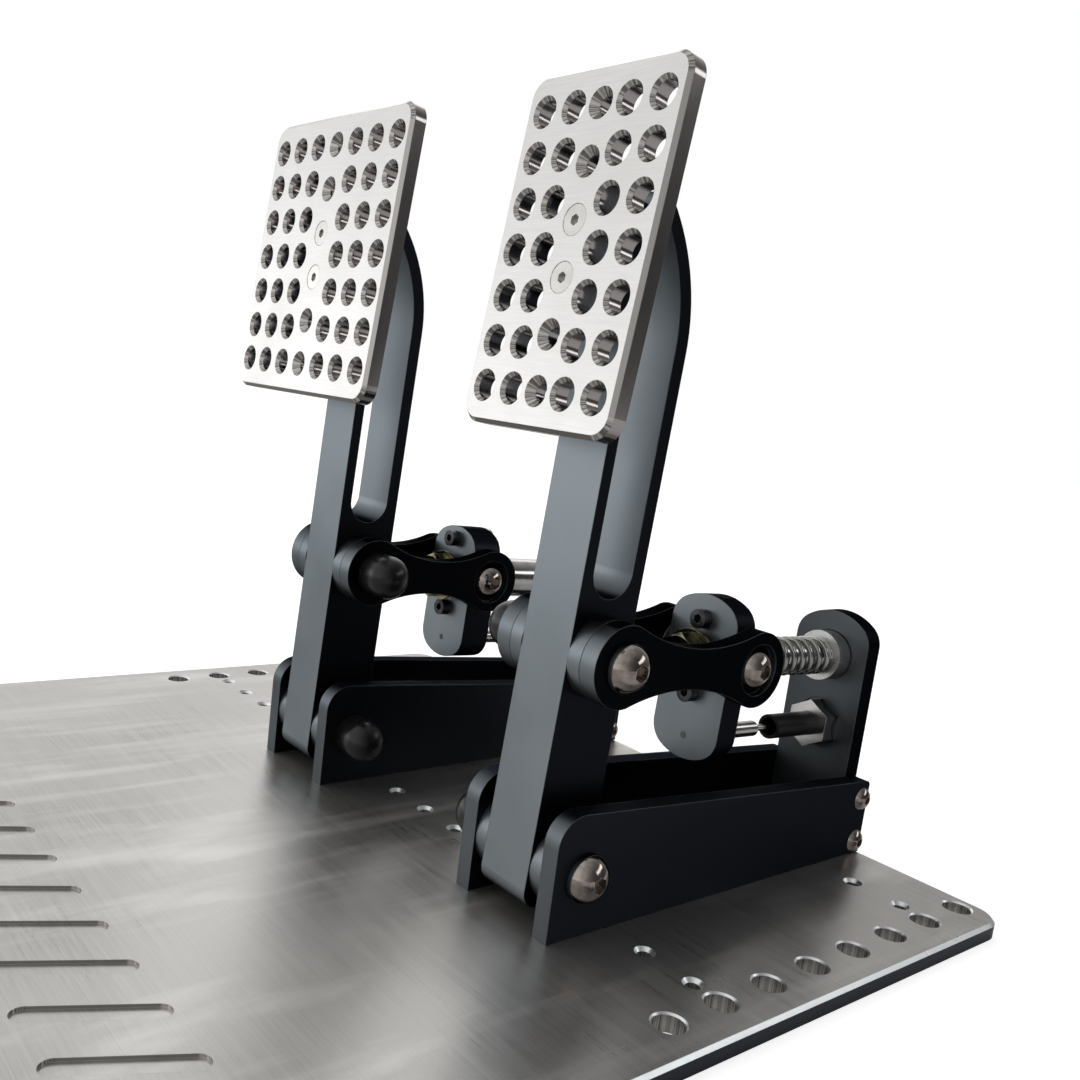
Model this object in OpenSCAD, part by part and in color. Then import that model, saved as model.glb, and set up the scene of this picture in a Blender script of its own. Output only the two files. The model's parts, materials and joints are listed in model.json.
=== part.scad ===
// Two-pedal set for a racing rig: brake on the left, throttle on the right.
// Millimetres. X runs to the driver's right, Y away from the driver, Z up.
// The origin is the middle of the base plate's underside.

/* [Base plate] */
// Width of the base plate, left to right
base_w = 370; // [370:5:440]
// Length of the base plate, from heel end to rear edge
base_l = 350; // [320:5:420]
// Thickness of the base plate
base_t = 6; // [5:0.5:10]
// Radius of the base plate's corners
base_corner_r = 10; // [6:1:16]
// Chamfer on the base plate's upper edge
base_chamfer = 1.2; // [0.6:0.2:2]

/* [Rig holes] */
// Diameter of the holes that bolt the plate to a rig
rig_hole_d = 10; // [7:0.5:11]
// Distance from one rig hole to the next
rig_pitch = 22.4; // [21:0.2:24]
// Rig holes along each side
rig_count = 8; // [4:1:12]
// Rig hole centre to the side edge
rig_edge_x = 14; // [11:1:14]
// Rearmost rig hole centre to the rear edge
rig_edge_y = 9; // [8:1:12]

/* [Pedal positions] */
// Pitch of the columns of pedal mounting holes
grid_pitch = 20; // [18:0.5:20]
// Columns on each side of the middle column
grid_half = 8; // [6:1:8]
// Column that the brake stands on
brake_column = -2; // [-4:1:-1]
// Column that the throttle stands on
throttle_column = 5; // [4:1:6]
// Front screw of a side plate, from the plate's front end
foot_front = 27; // [24:1:40]
// Distance between a side plate's two foot screws
foot_span = 114; // [90:1:114]
// Diameter of a foot screw's clearance hole
foot_hole_d = 4.6; // [4.4:0.1:5]

/* [Heel grooves] */
// Number of grip grooves across the heel area
groove_count = 11; // [5:1:13]
// Distance between grooves
groove_pitch = 24; // [18:1:26]
// Length of a groove
groove_len = 40; // [20:1:50]
// Width of a groove
groove_w = 7; // [4:0.5:9]
// Depth of a groove
groove_depth = 1; // [0.5:0.1:2]
// Groove centres, from the heel edge
groove_edge = 50; // [40:1:80]
// Slant of the grooves
groove_slant = 25; // [0:1:35]

/* [Side plates] */
// Length of a side plate
side_len = 170; // [165:1:190]
// Thickness of a side plate
side_t = 6.5; // [5:0.5:7]
// Height of a side plate at its front end
side_front_h = 42; // [38:1:48]
// Height of a side plate at its rear end
side_rear_h = 30; // [30:1:34]
// Radius of the front upper corner
side_nose_r = 10; // [6:1:12]
// Pedal pivot, from the side plate's front end
pivot_y = 13.5; // [13.5:0.5:16]
// Pedal pivot above the base plate
pivot_z = 20; // [19:0.5:22]

/* [Pedal arm] */
// Width of the arm, left to right
arm_w = 22; // [18:0.5:24]
// Depth of the arm, front to rear
arm_depth = 26.5; // [25:0.5:27]
// Front bar of the arm's loop
arm_front_bar = 4.3; // [3.5:0.1:6]
// Rear bar of the arm's loop
arm_rear_bar = 5; // [4:0.1:6]
// Arm below the pivot
arm_foot = 14.5; // [13:0.5:15]
// Height above the pivot where the rear bar starts to bend forward
arm_bend_w = 165.5; // [160:0.5:170]
// Radius of that bend
arm_bend_r = 60; // [55:1:70]
// Lower end of the loop's opening, above the pivot
arm_slot_w = 86.7; // [84:0.1:96]
// Lean of the brake arm, away from the driver
brake_lean = 2.8; // [1:0.1:5]
// Lean of the throttle arm, away from the driver
throttle_lean = 3.9; // [1:0.1:5]
// Diameter of the pivot and link bolts
bolt_d = 8; // [6:0.5:8]

/* [Pedal faces] */
// Height of both faces
face_h = 107; // [100:1:120]
// Thickness of both faces
face_t = 6; // [5:0.5:8]
// Width of the brake face
brake_face_w = 100; // [98:1:110]
// Width of the throttle face
throttle_face_w = 66; // [64:1:80]
// Corner radius of a face
face_corner_r = 7; // [5:0.5:9]
// Chamfer round a face's front
face_chamfer = 1.3; // [0.6:0.1:2]
// Middle of a face above the pivot, along the arm
face_w_centre = 187.5; // [184:0.5:190]
// Front of a face ahead of the arm's front bar
face_standoff = 19.7; // [16:0.1:24]
// Extra lean of the brake face against its arm
brake_face_tilt = 2.6; // [0:0.1:5]
// Extra lean of the throttle face against its arm
throttle_face_tilt = 3.5; // [0:0.1:5]
// Distance between rows of grip holes, and between the brake's columns
grip_pitch = 14; // [12:0.5:14]
// Throttle's inner grip columns, from the middle
grip_inner = 11.5; // [11:0.5:13]
// Throttle's outer grip columns, from the middle
grip_outer = 24.5; // [24:0.5:26]
// Diameter of a grip hole
grip_d = 7.8; // [6:0.2:9]
// Diameter of a grip hole's countersink
grip_sink_d = 10.2; // [9:0.2:11]
// Distance between the holes of the middle column
screw_pitch = 16.8; // [14:0.1:17]
// Diameter of a face screw
face_screw_d = 5; // [4:0.5:6]

/* [Links] */
// Link axle above the pivot, along the arm
link_axle_w = 68; // [62:1:70]
// Length of the brake links, axle to axle
brake_link_len = 60.5; // [58:0.5:66]
// Length of the throttle links, axle to axle
throttle_link_len = 67; // [62:0.5:70]
// Radius of a link's round ends
link_end_r = 13.5; // [12:0.5:14]
// Height of a link at its waist
link_waist = 13.8; // [12:0.1:18]
// Downward slope of the brake links towards the rear
brake_link_slope = 4.5; // [3.5:0.1:5.5]
// Downward slope of the throttle links towards the rear
throttle_link_slope = 4.8; // [3.5:0.1:5.5]
// Play of the links' rear eyes round their screws
eye_play = 0.6; // [0.5:0.1:0.8]

/* [Carriage] */
// Downward slope of the guide rods towards the rear
rod_slope = 2.5; // [1:0.1:4]
// Guide rod below the screws in the links' rear eyes
rod_below = 2; // [1:0.1:3]
// Width of a carrier plate
carrier_w = 30; // [28:0.5:31]
// Thickness of a carrier plate
carrier_t = 10; // [9:0.5:12]
// Extra thickness of the brake's carrier plate, on its rear
brake_carrier_extra = 4.4; // [0:0.2:6]
// Brake's carrier plate above its guide rod
brake_carrier_up = 22.7; // [22.4:0.1:26]
// Throttle's carrier plate above its guide rod
throttle_carrier_up = 23.6; // [22.4:0.1:26]
// Carrier plate below the guide rod
carrier_down = 37; // [35:0.1:40]
// Radius of the round ends of a carrier plate and of an upright
plate_end_r = 21.5; // [20:0.5:26]
// Radius where those ends meet the plate's sides
plate_corner_r = 9.5; // [7:0.5:10]
// Half the distance between the brake's two carrier screws
brake_screw_h = 15.8; // [13.5:0.1:16]
// Half the distance between the throttle's two carrier screws
throttle_screw_h = 13.5; // [13.2:0.1:16]
// Middle between those screws, above the guide rod
carrier_screw_mid = 1.2; // [0:0.1:1.6]
// Diameter of a guide rod
rod_d = 10; // [8:0.5:10]
// Sensor axis below the guide rod
sensor_drop = 28.6; // [27:0.1:29]

/* [Springs] */
// Outer diameter of the throttle spring
spring_od = 15.4; // [15:0.1:16]
// Wire of the throttle spring
spring_wire = 2.2; // [1.6:0.1:2.3]
// Turns of the throttle spring
spring_turns = 11; // [8:1:12]
// Outer diameter of the brake's load sleeve and pad
sleeve_d = 18; // [16:0.5:19]
// Rear end of the load sleeve behind the carrier plate
sleeve_len = 35.2; // [28:0.1:40]

/* [Upright and sensor] */
// Thickness of an upright
upright_t = 8; // [7:0.5:10]
// Upright's top above the base plate
upright_h = 95; // [94:0.1:102]
// Outer diameter of a guide bush's collar
bush_collar_d = 20; // [18:0.5:21]
// Thickness of that collar
bush_collar_t = 8.5; // [3:0.5:11]
// Diameter of a sensor's body
sensor_d = 9.6; // [9:0.1:11]
// Length of a sensor's body ahead of the upright
sensor_front_len = 33; // [28:1:36]

/* [Hidden] */

$fn = 64;
BRAKE = 0;
THROTTLE = 1;
UNITS = [BRAKE, THROTTLE];
SIDES = [-1, 1];
eps = 0.01;

black = "#1b1d20";
satin = "#d9d8d5";
steel = "#9c9690";
plate_grey = "#a3a19d";
nylon = "#26282b";
bronze = "#a8834a";

// Clearances between pieces that move against each other
turn_play = 0.05;
face_gap = 0.15;

// Derived places of the two pedals
column = [brake_column, throttle_column];
side_front_y = base_l / 2 - side_len;
side_gap = 2 * grid_pitch - side_t;
side_in = side_gap / 2;
side_out = side_in + side_t;
arm_side = arm_w / 2;
lean = [brake_lean, throttle_lean];
face_w = [brake_face_w, throttle_face_w];
face_tilt = [brake_face_tilt, throttle_face_tilt];
link_len = [brake_link_len, throttle_link_len];
link_slope = [brake_link_slope, throttle_link_slope];
carrier_up = [brake_carrier_up, throttle_carrier_up];
carrier_screw_h = [brake_screw_h, throttle_screw_h];
// Bolt heads are on the outer sides of the set, the capped nuts on the inner ones
head_side = [-1, 1];
function unit_x(u) = column[u] * grid_pitch;
function axle_y(u) = pivot_y + link_axle_w * sin(lean[u]);
function axle_z(u) = pivot_z + link_axle_w * cos(lean[u]);
function eye_y(u) = axle_y(u) + link_len[u] * cos(link_slope[u]);
function eye_z(u) = axle_z(u) - link_len[u] * sin(link_slope[u]);

// Bought hardware, by its standard sizes
button_d = 15.8;
button_h = 5.6;
eye_button_d = 14.8;
button_socket = 5;
nut_af = 13;
nut_h = 6.5;
thread_end = 2;
head_washer_t = 1.6;
small_button_d = 9.5;
small_button_h = 2.8;
small_bolt_d = 5;
small_socket = 3;
carrier_bolt_d = 4;
cap_head_d = 7;
cap_head_h = 4;
cap_socket = 3;
foot_screw_d = 4;
foot_head_d = 8;
foot_screw_len = 16;
rod_nut_af = 17;
rod_nut_h = 8;
rod_flange_d = 22;
rod_flange_t = 1.2;
sensor_nut_af = 17;
sensor_nut_h = 8;
sensor_back_nut_h = 5;
dome_cap_d = 17.3;
dome_cap_h = 16.3;

// Spacers, bushes and seats
pivot_spacer_d = 26;
link_spacer_d = 27;
arm_bush_d = 12;
washer_d = 16;
link_blend = 0.1;
eye_sink_d = 18.4;
eye_sink_depth = 2.5;
upright_screw_z = [5.2, 23];
upright_y = side_len - upright_t;
upright_half = side_gap / 2;
flange_t = 3;
cup_od = 20;
cup_depth = 6;
bush_body_d = 14;
bush_tail = 1.5;
seat_play = 0.3;
cutter_len = 6;
sensor_thread_play = 0.05;
sensor_rear_len = 9;
gland_d = 7;
gland_len = 6;
plunger_d = 6;
plunger_reach = 35;
needle_d = 2.5;
needle_len = 25;
mouth_d = 7.2;
mouth_depth = 9.5;
needle_bore_len = 26;

// Distance along the guide rod from the middle of the carrier plate, for a point h above the rod
function along_rod(u, y, h) = (y - eye_y(u) - (h - rod_below) * sin(rod_slope)) / cos(rod_slope);
carrier_front = -carrier_t / 2;
function carrier_rear(u) = carrier_t / 2 + (u == BRAKE ? brake_carrier_extra : 0);
function flange_rear(u) = carrier_rear(u) + flange_t;
function screw_z(u, s) = carrier_screw_mid + s * carrier_screw_h[u];
// The rod's washer fits between the heads of the carrier screws, and its nut stands ahead of them
rod_washer_t = cap_head_h + 0.2;
rod_washer_d = 2 * (min(carrier_screw_h) - carrier_screw_mid - cap_head_d / 2 - seat_play);
seat_dip = (bush_collar_d / 2 + seat_play) * tan(rod_slope);
function bush_seat(u) = along_rod(u, upright_y, 0) + seat_dip;
function bush_front(u) = bush_seat(u) - bush_collar_t;
sensor_nut_r = sensor_nut_af / 2 / cos(30) + seat_play;
sensor_dip = sensor_nut_r * tan(rod_slope);
function sensor_seat(u) = along_rod(u, upright_y, -sensor_drop) + sensor_dip;
function sensor_back(u) = along_rod(u, upright_y + upright_t, -sensor_drop) - sensor_dip;
function sensor_front(u) = sensor_seat(u) - sensor_front_len - sensor_dip;

// Frames that the pieces are drawn in
module at_unit(u) {
    translate([unit_x(u), side_front_y, base_t]) children();
}
module at_pivot(u) {
    at_unit(u) translate([0, pivot_y, pivot_z]) children();
}
module on_arm(u) {
    at_pivot(u) rotate([-lean[u], 0, 0]) children();
}
module on_face(u) {
    on_arm(u) translate([0, -arm_depth / 2 - face_standoff, face_w_centre])
        rotate([-face_tilt[u], 0, 0]) children();
}
module on_link(u) {
    at_unit(u) translate([0, axle_y(u), axle_z(u)]) rotate([-link_slope[u], 0, 0]) children();
}
module on_eye(u) {
    at_unit(u) translate([0, eye_y(u), eye_z(u)]) rotate([-rod_slope, 0, 0]) children();
}
module on_rod(u) {
    on_eye(u) translate([0, 0, -rod_below]) children();
}

// An outline in Y and Z, from x0 to x1
module across(x0, x1) {
    translate([x0, 0, 0]) rotate([90, 0, 90]) linear_extrude(x1 - x0) children();
}
// An outline in X and Z, from y0 to y1
module along(y0, y1) {
    translate([0, y1, 0]) rotate([90, 0, 0]) linear_extrude(y1 - y0) children();
}
module pin_x(d, x0, x1) {
    translate([x0, 0, 0]) rotate([0, 90, 0]) cylinder(d = d, h = x1 - x0);
}
// Ring round the X axis, from x0 to x1 on one side
module ring_x(side, d, bore, x0, x1) {
    mirror([side > 0 ? 0 : 1, 0, 0]) difference() {
        pin_x(d, x0, x1);
        pin_x(bore, x0 - 1, x1 + 1);
    }
}
module pin_y(d, y0, y1) {
    translate([0, y0, 0]) rotate([-90, 0, 0]) cylinder(d = d, h = y1 - y0);
}
// A cone along Y, from diameter d0 at y0 to d1 at y1
module cone_y(d0, d1, y0, y1) {
    translate([0, y0, 0]) rotate([-90, 0, 0]) cylinder(d1 = d0, d2 = d1, h = y1 - y0);
}
// A round bar along Y with both ends bevelled
module bevelled_pin_y(d, y0, y1, bevel) {
    r = d / 2;
    len = y1 - y0;
    translate([0, y0, 0]) rotate([-90, 0, 0]) rotate_extrude()
        polygon([[0, 0], [r - bevel, 0], [r, bevel], [r, len - bevel], [r - bevel, len], [0, len]]);
}
module hex_prism(af, h) {
    cylinder(d = af / cos(30), h = h, $fn = 6);
}
module hex_y(af, y0, y1) {
    translate([0, y0, 0]) rotate([-90, 0, 0]) rotate([0, 0, 30]) hex_prism(af, y1 - y0);
}

// Button head with its flat side at z = 0, and a hexagon socket
module button_head(d, h, socket) {
    ball_r = (d * d / 4 + h * h) / (2 * h);
    difference() {
        intersection() {
            translate([0, 0, h - ball_r]) sphere(r = ball_r);
            cylinder(d = d, h = h);
        }
        translate([0, 0, h * 0.4]) hex_prism(socket, h);
    }
}
// Button-head screw along X, its head's underside at x_head and its tip at x_tip
module button_screw_x(d, head_d, head_h, socket, x_head, x_tip) {
    facing = x_head > x_tip ? 1 : -1;
    translate([x_head, 0, 0]) rotate([0, facing * 90, 0]) button_head(head_d, head_h, socket);
    pin_x(d, min(x_head, x_tip), max(x_head, x_tip));
}
// Plate with rounded corners in X and Z, its chamfered face at y = 0
module chamfered_panel(w, h, t, r, c) {
    side_x = w / 2 - r;
    side_z = h / 2 - r;
    rotate([-90, 0, 0]) {
        for (sx = SIDES, sz = SIDES) translate([sx * side_x, sz * side_z, 0])
            rotate_extrude() polygon([[0, 0], [r - c, 0], [r, c], [r, t], [0, t]]);
        bevelled_bar(w, 2 * side_z, t, c);
        rotate([0, 0, 90]) bevelled_bar(h, 2 * side_x, t, c);
    }
}
// Bar of length len along Y and width w, bevelled along both sides at z = 0
module bevelled_bar(w, len, t, c) {
    outline = [[-w / 2 + c, 0], [w / 2 - c, 0], [w / 2, c], [w / 2, t], [-w / 2, t], [-w / 2, c]];
    translate([0, len / 2, 0]) rotate([90, 0, 0]) linear_extrude(len) polygon(outline);
}

// Base plate: chamfered upper edge, rig holes, pedal holes and heel grooves
module base_plate() {
    color(plate_grey) difference() {
        translate([0, 0, base_t]) rotate([-90, 0, 0])
            chamfered_panel(base_w, base_l, base_t, base_corner_r, base_chamfer);
        for (sx = SIDES, i = [0 : rig_count - 1])
            translate([sx * rig_x(), rig_last_y() - i * rig_pitch, 0]) rig_hole();
        for (i = [-grid_half : grid_half], row = [0, 1])
            translate([i * grid_pitch, side_front_y + foot_front + row * foot_span, 0]) foot_hole();
        for (i = [0 : groove_count - 1])
            translate([(i - (groove_count - 1) / 2) * groove_pitch, groove_edge - base_l / 2, base_t])
                heel_groove();
    }
}
function rig_x() = base_w / 2 - rig_edge_x;
function rig_last_y() = base_l / 2 - rig_edge_y;
module rig_hole() {
    rim = 0.6;
    translate([0, 0, -eps]) cylinder(d = rig_hole_d, h = base_t + 2 * eps);
    translate([0, 0, base_t - rim]) cylinder(d1 = rig_hole_d, d2 = rig_hole_d + 2 * rim + eps, h = rim + eps);
}
// Countersunk below for the screw head and lightly above
module foot_hole() {
    sink = (foot_head_d - foot_hole_d) / 2;
    rim = 1.2;
    translate([0, 0, -eps]) cylinder(d = foot_hole_d, h = base_t + 2 * eps);
    translate([0, 0, -eps]) cylinder(d1 = foot_head_d + 2 * eps, d2 = foot_hole_d, h = sink + eps);
    translate([0, 0, base_t - rim]) cylinder(d1 = foot_hole_d, d2 = foot_hole_d + 2 * rim + eps, h = rim + eps);
}
module heel_groove() {
    straight = groove_len - groove_w;
    translate([0, 0, -groove_depth]) rotate([0, 0, -groove_slant])
        linear_extrude(groove_depth + eps) {
            square([groove_w, straight], center = true);
            for (s = SIDES) translate([0, s * straight / 2]) circle(d = groove_w);
        }
}

// Side plate: a long plate whose upper edge falls to the rear
module side_outline() {
    fall = (side_front_h - side_rear_h) / side_len;
    steep = sqrt(1 + fall * fall);
    nose_z = side_front_h - fall * side_nose_r - side_nose_r * steep;
    tail_r = 2;
    tail_z = side_rear_h + fall * tail_r - tail_r * steep;
    tilt_y = fall / steep;
    tilt_z = 1 / steep;
    polygon([
        [0, 0], [side_len, 0], [side_len, tail_z], [side_len - tail_r, tail_z],
        [side_len - tail_r + tail_r * tilt_y, tail_z + tail_r * tilt_z],
        [side_nose_r + side_nose_r * tilt_y, nose_z + side_nose_r * tilt_z],
        [side_nose_r, nose_z], [0, nose_z]
    ]);
    translate([side_nose_r, nose_z]) circle(r = side_nose_r);
    translate([side_len - tail_r, tail_z]) circle(r = tail_r);
}
module side_plate(u, side) {
    thread_depth = foot_screw_len - base_t + 2;
    color(black) at_unit(u) difference() {
        across(side > 0 ? side_in : -side_out, side > 0 ? side_out : -side_in) side_outline();
        translate([0, pivot_y, pivot_z]) pin_x(bolt_d + 2 * turn_play, -side_out - 1, side_out + 1);
        for (z = upright_screw_z)
            translate([0, upright_y + upright_t / 2, z])
                pin_x(small_bolt_d + 2 * turn_play, -side_out - 1, side_out + 1);
        for (row = [0, 1])
            translate([side * grid_pitch, foot_front + row * foot_span, -eps])
                cylinder(d = foot_screw_d, h = thread_depth);
    }
}

// Round end of a plate, its tip at the origin: a wide arc that meets the sides in tighter corners
module plate_end(half_w) {
    corner_x = half_w - plate_corner_r;
    corner_z = plate_end_r - plate_end_depth(half_w);
    reach = 2 * plate_end_r / corner_z;
    translate([0, -plate_end_r]) {
        for (s = SIDES) translate([s * corner_x, corner_z]) circle(r = plate_corner_r);
        intersection() {
            circle(r = plate_end_r);
            polygon([[0, 0], [-corner_x * reach, corner_z * reach], [corner_x * reach, corner_z * reach]]);
        }
    }
}
function plate_end_depth(half_w) =
    plate_end_r - sqrt(pow(plate_end_r - plate_corner_r, 2) - pow(half_w - plate_corner_r, 2));

// Upright at the rear: carries the guide bush and the sensor
module upright(u) {
    color(black) difference() {
        at_unit(u) along(upright_y, side_len) {
            translate([-upright_half, 0])
                square([2 * upright_half, upright_h - plate_end_depth(upright_half)]);
            translate([0, upright_h]) plate_end(upright_half);
        }
        on_rod(u) {
            pin_y(bush_body_d, bush_seat(u) - 1, bush_seat(u) + upright_t + 4);
            pin_y(bush_collar_d + 2 * seat_play, bush_seat(u) - cutter_len, bush_seat(u));
        }
        on_rod(u) translate([0, 0, -sensor_drop]) {
            pin_y(sensor_d + 2 * sensor_thread_play, sensor_seat(u) - 1, sensor_back(u) + 1);
            pin_y(2 * sensor_nut_r, sensor_seat(u) - cutter_len, sensor_seat(u));
            pin_y(2 * sensor_nut_r, sensor_back(u), sensor_back(u) + cutter_len);
        }
        for (z = upright_screw_z)
            at_unit(u) translate([0, upright_y + upright_t / 2, z])
                pin_x(small_bolt_d, -upright_half - 1, upright_half + 1);
    }
}

// Screws that come up through the base plate into the side plates
module foot_screws() {
    sink = (foot_head_d - foot_screw_d) / 2;
    color(steel)
        for (u = UNITS, side = SIDES, row = [0, 1])
            translate([unit_x(u) + side * grid_pitch, side_front_y + foot_front + row * foot_span, 0])
                difference() {
                    union() {
                        cylinder(d1 = foot_head_d - 0.4, d2 = foot_screw_d, h = sink);
                        cylinder(d = foot_screw_d, h = foot_screw_len);
                    }
                    translate([0, 0, -eps]) hex_prism(2.5, 1.6);
                }
}
module upright_screws() {
    grip = 12;
    color(steel)
        for (u = UNITS, side = SIDES, z = upright_screw_z)
            at_unit(u) translate([0, upright_y + upright_t / 2, z])
                button_screw_x(small_bolt_d, small_button_d, small_button_h, small_socket,
                    side * side_out, side * (side_out - side_t - grip));
}
module pivot_bolts() {
    color(steel)
        for (u = UNITS) at_pivot(u) axle_bolt_x(u, side_out);
}
// Bolt along X whose head washer and nut sit on the faces at +x0 and -x0
module axle_bolt_x(u, x0) {
    button_screw_x(bolt_d, button_d, button_h, button_socket,
        head_side[u] * (x0 + head_washer_t), -head_side[u] * (x0 + nut_h + thread_end));
}
module lock_nut_x(side, x0) {
    mirror([side > 0 ? 0 : 1, 0, 0]) difference() {
        translate([x0, 0, 0]) rotate([0, 90, 0]) hex_prism(nut_af, nut_h);
        pin_x(bolt_d, x0 - 1, x0 + nut_h + 1);
    }
}
module pivot_nuts() {
    color(steel) for (u = UNITS) at_pivot(u) lock_nut_x(-head_side[u], side_out);
}
// Two spacers beside each arm, and the washer under each bolt's head
module pivot_spacers() {
    bore = bolt_d + 2 * turn_play;
    color(black) for (u = UNITS) at_pivot(u) {
        for (side = SIDES) ring_x(side, pivot_spacer_d, bore, arm_side + face_gap, side_in);
        ring_x(head_side[u], washer_d, bore, side_out, side_out + head_washer_t);
    }
}
// Collared bush, square to the guide rod, in the upright's spot face
module guide_bushes() {
    color(satin)
        for (u = UNITS)
            on_rod(u) difference() {
                union() {
                    pin_y(bush_collar_d, bush_front(u), bush_seat(u));
                    pin_y(bush_body_d, bush_seat(u) - eps, bush_seat(u) + upright_t + bush_tail);
                }
                pin_y(rod_d + 2 * turn_play, bush_front(u) - 1, bush_seat(u) + upright_t + bush_tail + 1);
            }
}
module sensor_nuts() {
    color(steel)
        for (u = UNITS)
            on_rod(u) translate([0, 0, -sensor_drop]) {
                sensor_nut(sensor_seat(u) - sensor_nut_h, sensor_seat(u));
                sensor_nut(sensor_back(u), sensor_back(u) + sensor_back_nut_h);
            }
}
module sensor_nut(y0, y1) {
    difference() {
        hex_y(sensor_nut_af, y0, y1);
        pin_y(sensor_d + 2 * sensor_thread_play, y0 - 1, y1 + 1);
    }
}
// Sensor: a tube with an open mouth, a bore for the needle, and a gland behind
module sensor_body(u) {
    front = sensor_front(u);
    rear = sensor_back(u) + sensor_rear_len;
    color(nylon) on_rod(u) translate([0, 0, -sensor_drop]) difference() {
        union() {
            pin_y(sensor_d, front, rear);
            pin_y(gland_d, rear - eps, rear + gland_len);
        }
        pin_y(mouth_d, front - 1, front + mouth_depth);
        pin_y(needle_d + 2 * turn_play, front, front + mouth_depth + needle_bore_len);
    }
}
// Round-ended caps over the nuts, their rims at x0
module dome_cap_x(side, x0) {
    dome_r = dome_cap_d / 2;
    room_d = nut_af / cos(30) + 0.2;
    room_h = nut_h + thread_end + 0.2;
    translate([side * x0, 0, 0]) rotate([0, side * 90, 0]) difference() {
        union() {
            cylinder(d = dome_cap_d, h = dome_cap_h - dome_r);
            intersection() {
                translate([0, 0, dome_cap_h - dome_r]) sphere(r = dome_r);
                cylinder(d = dome_cap_d, h = dome_cap_h);
            }
        }
        translate([0, 0, -eps]) cylinder(d = room_d, h = room_h);
    }
}
module pivot_cap(u) {
    color(nylon) at_pivot(u) dome_cap_x(-head_side[u], side_out);
}
module link_cap(u) {
    color(nylon) on_arm(u) translate([0, 0, link_axle_w]) dome_cap_x(-head_side[u], side_out + face_gap);
}

// Outline whose straight front and rear run up into one forward bend, with a rounded front corner
module loop_outline(front, rear, bottom, bend_r, corner_r) {
    hub = [arm_depth / 2 - arm_bend_r, arm_bend_w];
    corner_x = front + corner_r;
    reach = bend_r - corner_r;
    rise = sqrt(reach * reach - pow(corner_x - hub[0], 2));
    corner = [corner_x, hub[1] + rise];
    touch = hub + (corner - hub) * bend_r / reach;
    translate([front, bottom]) square([rear - front, hub[1] - bottom]);
    translate(corner) circle(r = corner_r);
    intersection() {
        translate(hub) circle(r = bend_r, $fn = 180);
        polygon([
            [front, hub[1] - 1], [rear + bend_r, hub[1] - 1], [rear + bend_r, touch[1] + bend_r],
            corner + (touch - corner) * 4, corner, [front, corner[1]]
        ]);
    }
}
module foot_corner(x, z, r, side) {
    translate([x, z]) difference() {
        translate([side > 0 ? -r : -1, -1]) square([r + 1, r + 1]);
        translate([-side * r, r]) circle(r = r);
    }
}
module arm_outline() {
    front = -arm_depth / 2;
    rear = arm_depth / 2;
    slot_front = front + arm_front_bar;
    slot_rear = rear - arm_rear_bar;
    slot_r = (slot_rear - slot_front) / 2;
    foot_r = 6;
    difference() {
        loop_outline(front, rear, -arm_foot, arm_bend_r, 5);
        loop_outline(slot_front, slot_rear, arm_slot_w + slot_r, arm_bend_r - arm_rear_bar, 2.5);
        translate([(slot_front + slot_rear) / 2, arm_slot_w + slot_r]) circle(r = slot_r);
        foot_corner(front, -arm_foot, foot_r, -1);
        foot_corner(rear, -arm_foot, foot_r, 1);
    }
}
module arm(u) {
    screw_reach = face_standoff + arm_front_bar + 6;
    color(black) difference() {
        on_arm(u) difference() {
            across(-arm_side, arm_side) arm_outline();
            pin_x(arm_bush_d, -arm_side - 1, arm_side + 1);
            translate([0, 0, link_axle_w]) pin_x(bolt_d, -arm_side - 1, arm_side + 1);
        }
        on_face(u) for (s = SIDES)
            translate([0, 0, s * screw_pitch / 2]) pin_y(face_screw_d, face_t, screw_reach);
    }
}
module arm_bushes(u) {
    color(bronze) on_arm(u)
        for (side = SIDES) ring_x(side, arm_bush_d, bolt_d + 2 * turn_play, eps, arm_side);
}
// Wedge block between the arm's front bar and the face
module face_block(u) {
    below = 20;
    above = 18;
    deep = face_standoff + arm_depth;
    color(black) difference() {
        intersection() {
            on_face(u) translate([-arm_side, face_t, -below]) cube([arm_w, deep, below + above]);
            on_arm(u) translate([-arm_side - 1, -arm_depth / 2 - deep, 0])
                cube([arm_w + 2, deep, face_w_centre + face_h]);
        }
        on_face(u) for (s = SIDES)
            translate([0, 0, s * screw_pitch / 2]) pin_y(face_screw_d, face_t - 1, deep);
    }
}
function grip_columns(u) = u == BRAKE ? [for (i = [1 : 3]) i * grip_pitch] : [grip_inner, grip_outer];
module sunk_hole_y(d, sink_d, t) {
    sink = (sink_d - d) / 2;
    pin_y(d, -1, t + 1);
    cone_y(sink_d + 2 * eps, d, -eps, sink);
}
module face_plate(u) {
    color(satin) on_face(u) difference() {
        chamfered_panel(face_w[u], face_h, face_t, face_corner_r, face_chamfer);
        for (row = [-3 : 3], x = grip_columns(u), sx = SIDES)
            translate([sx * x, 0, row * grip_pitch]) sunk_hole_y(grip_d, grip_sink_d, face_t);
        for (i = [0 : 5])
            translate([0, 0, (i - 2.5) * screw_pitch])
                sunk_hole_y(face_screw_d, 2 * face_screw_d - 0.4, face_t);
    }
}
module face_screws(u) {
    head_d = 2 * face_screw_d - 0.6;
    head_h = (head_d - face_screw_d) / 2;
    tip = face_standoff + arm_front_bar + 3;
    color(steel) on_face(u) for (s = SIDES)
        translate([0, 0, s * screw_pitch / 2]) difference() {
            union() {
                cone_y(head_d, face_screw_d, 0.1, 0.1 + head_h);
                pin_y(face_screw_d, 0.2, tip);
            }
            hex_y(3, -1, 2);
        }
}

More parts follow.
